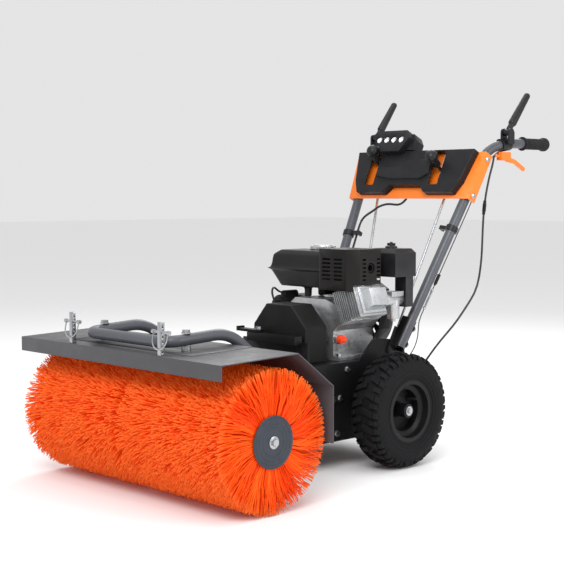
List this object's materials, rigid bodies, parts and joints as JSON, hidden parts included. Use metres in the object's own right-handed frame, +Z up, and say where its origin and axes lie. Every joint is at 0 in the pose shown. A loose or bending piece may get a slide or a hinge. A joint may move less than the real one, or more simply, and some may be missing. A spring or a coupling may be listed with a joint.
{
  "type": "walk behind sweeper",
  "caption": "Walk-behind power sweeper: swivelling rotary brush under a sheet hood, petrol engine on two wheels, raked handles with a control console.",
  "frame": {"origin": "middle of the machine's footprint, on the ground", "axes": "+Y from the brush towards the operator, +X to the operator's left when behind the handles looking forward, +Z up"},
  "size_m": [0.809, 1.4441, 1.0524],
  "materials": {
    "frame_black": "satin black powder coat",
    "sheet_grey": "anthracite powder coat",
    "tube_grey": "grey powder coat",
    "orange_paint": "orange powder coat",
    "zinc": "zinc plated steel",
    "steel": "bare steel",
    "cast_alu": "die-cast",
    "black_plastic": "grained moulding",
    "rubber_black": "soft",
    "tyre_rubber": "moulded tyre",
    "bristle_orange": "polypropylene bristle",
    "disc_grey": "turned and painted",
    "led_clear": "clear lens",
    "cap_red": "moulded"
  },
  "bodies": {
    "chassis": {"main_frame": "frame_black", "bearings": "steel", "belt_cover": "frame_black", "swivel_bracket": "frame_black", "frame_bolts": "zinc", "handle_tubes": "tube_grey", "handle_brackets": "frame_black", "grips": "rubber_black", "lever_clamps": "black_plastic", "console_bracket": "orange_paint", "console_cover": "black_plastic", "headlight": "black_plastic", "headlight_leds": "led_clear", "cable_clips": "black_plastic", "trigger_bracket": "orange_paint", "cables": "rubber_black", "crankcase": "cast_alu", "cylinder_head": "cast_alu", "valve_cover": "cast_alu", "muffler_guard": "frame_black", "muffler": "sheet_grey", "fuel_tank": "frame_black", "air_filter": "black_plastic", "carburettor": "cast_alu", "blower_housing": "black_plastic", "starter_motor": "frame_black", "transmission": "frame_black", "drive_belts": "rubber_black"},
    "brush_head": {"hood": "sheet_grey", "head_frame": "tube_grey", "head_bolts": "zinc", "collector_posts": "zinc", "brush_gearbox": "cast_alu"},
    "lock_pin_left": {"lock_pin_left": "zinc"},
    "lock_pin_right": {"lock_pin_right": "zinc"},
    "brush": {"bristles": "bristle_orange", "brush_core": "steel", "brush_discs": "disc_grey"},
    "worm_shaft": {"worm_shaft": "steel"},
    "drive_shaft": {"drive_shaft": "steel"},
    "travel_pulley": {"travel_pulley": "steel"},
    "crankshaft": {"crankshaft": "steel"},
    "wheel_left": {"tyre_left": "tyre_rubber", "rim_left": "frame_black", "axle_left": "zinc"},
    "wheel_right": {"tyre_right": "tyre_rubber", "rim_right": "frame_black", "axle_right": "zinc"},
    "fuel_cap": {"fuel_cap": "zinc"},
    "oil_cap": {"oil_cap": "cap_red"},
    "clutch_lever_left": {"clutch_lever_left": "black_plastic"},
    "clutch_lever_right": {"clutch_lever_right": "black_plastic"},
    "shift_lever_left": {"shift_lever_left": "black_plastic"},
    "shift_lever_right": {"shift_lever_right": "black_plastic"},
    "shift_rod_left": {"shift_rod_left": "zinc"},
    "shift_rod_right": {"shift_rod_right": "zinc"},
    "trigger": {"trigger": "orange_paint"},
    "latch_lever": {"latch_lever": "frame_black"},
    "recoil_handle": {"recoil_handle": "black_plastic", "recoil_rope": "rubber_black"}
  },
  "joints": [
    {"name": "head_swivel", "type": "hinge", "parent": "chassis", "child": "brush_head", "pos_m": [0, -0.208, 0.22], "axis": [0, 0, 1], "range_deg": [-20, 20]},
    {"name": "brush_spin", "type": "hinge", "parent": "brush_head", "child": "brush", "pos_m": [0, -0.547, 0.175], "axis": [1, 0, 0], "continuous": true},
    {"name": "worm_spin", "type": "hinge", "parent": "brush_head", "child": "worm_shaft", "pos_m": [0, -0.547, 0.22], "axis": [0, 1, 0], "continuous": true},
    {"name": "drive_spin", "type": "hinge", "parent": "chassis", "child": "drive_shaft", "pos_m": [0, -0.118, 0.22], "axis": [0, 1, 0], "continuous": true},
    {"name": "travel_spin", "type": "hinge", "parent": "chassis", "child": "travel_pulley", "pos_m": [0, -0.093, 0.18], "axis": [0, 1, 0], "continuous": true},
    {"name": "crank_spin", "type": "hinge", "parent": "chassis", "child": "crankshaft", "pos_m": [0, -0.018, 0.396], "axis": [0, 1, 0], "continuous": true},
    {"name": "wheel_left_spin", "type": "hinge", "parent": "chassis", "child": "wheel_left", "pos_m": [0.2345, 0.082, 0.158], "axis": [1, 0, 0], "continuous": true},
    {"name": "wheel_right_spin", "type": "hinge", "parent": "chassis", "child": "wheel_right", "pos_m": [-0.2345, 0.082, 0.158], "axis": [1, 0, 0], "continuous": true},
    {"name": "lock_pin_left_turn", "type": "hinge", "parent": "brush_head", "child": "lock_pin_left", "pos_m": [0.18, -0.706, 0.427], "axis": [-1, 0, 0], "range_deg": [0, 120]},
    {"name": "lock_pin_right_turn", "type": "hinge", "parent": "brush_head", "child": "lock_pin_right", "pos_m": [-0.18, -0.706, 0.427], "axis": [-1, 0, 0], "range_deg": [0, 120]},
    {"name": "latch_turn", "type": "hinge", "parent": "chassis", "child": "latch_lever", "pos_m": [-0.058, -0.175, 0.372], "axis": [0, 0, 1], "range_deg": [0, 14], "stiffness_Nm_per_rad": 1},
    {"name": "clutch_left_pull", "type": "hinge", "parent": "chassis", "child": "clutch_lever_left", "pos_m": [0.258, 0.534, 0.932], "axis": [-1, 0, 0], "range_deg": [0, 42], "stiffness_Nm_per_rad": 1.2, "springref_deg": -34.38},
    {"name": "clutch_right_pull", "type": "hinge", "parent": "chassis", "child": "clutch_lever_right", "pos_m": [-0.258, 0.534, 0.932], "axis": [-1, 0, 0], "range_deg": [0, 42], "stiffness_Nm_per_rad": 1.2, "springref_deg": -34.38},
    {"name": "trigger_pull", "type": "hinge", "parent": "chassis", "child": "trigger", "pos_m": [0.25, 0.544, 0.861], "axis": [1, 0, 0], "range_deg": [0, 15], "stiffness_Nm_per_rad": 1, "springref_deg": -17.19},
    {"name": "shift_left_move", "type": "hinge", "parent": "chassis", "child": "shift_lever_left", "pos_m": [0.108, 0.47202, 0.77186], "axis": [1, 0, 0], "range_deg": [-16, 20]},
    {"name": "shift_right_move", "type": "hinge", "parent": "chassis", "child": "shift_lever_right", "pos_m": [-0.145, 0.47202, 0.77186], "axis": [1, 0, 0], "range_deg": [-2, 25]},
    {"name": "shift_rod_left_slide", "type": "slide", "parent": "chassis", "child": "shift_rod_left", "axis": [0, 0.4767, 0.8791], "range_m": [-0.02, 0.02]},
    {"name": "shift_rod_right_slide", "type": "slide", "parent": "chassis", "child": "shift_rod_right", "axis": [0, 0.4235, 0.9059], "range_m": [-0.02, 0.02]},
    {"name": "fuel_cap_turn", "type": "hinge", "parent": "chassis", "child": "fuel_cap", "pos_m": [-0.032, 0.054, 0.595], "axis": [0, 0, 1], "range_deg": [0, 90]},
    {"name": "oil_cap_turn", "type": "hinge", "parent": "chassis", "child": "oil_cap", "pos_m": [0.106, -0.016, 0.349], "axis": [1, 0, 0], "range_deg": [0, 180]},
    {"name": "recoil_pull", "type": "slide", "parent": "chassis", "child": "recoil_handle", "axis": [0, 0, 1], "range_m": [0, 0.3], "stiffness_N_per_m": 40, "springref_m": -0.2, "deforming": ["recoil_rope"]}
  ],
  "couplings": [
    {"joint": "worm_spin", "follows": "brush_spin", "ratio": 8},
    {"joint": "drive_spin", "follows": "brush_spin", "ratio": 8},
    {"joint": "shift_rod_left_slide", "follows": "shift_left_move", "m_per_rad": -0.035195},
    {"joint": "shift_rod_right_slide", "follows": "shift_right_move", "m_per_rad": -0.031565}
  ]
}
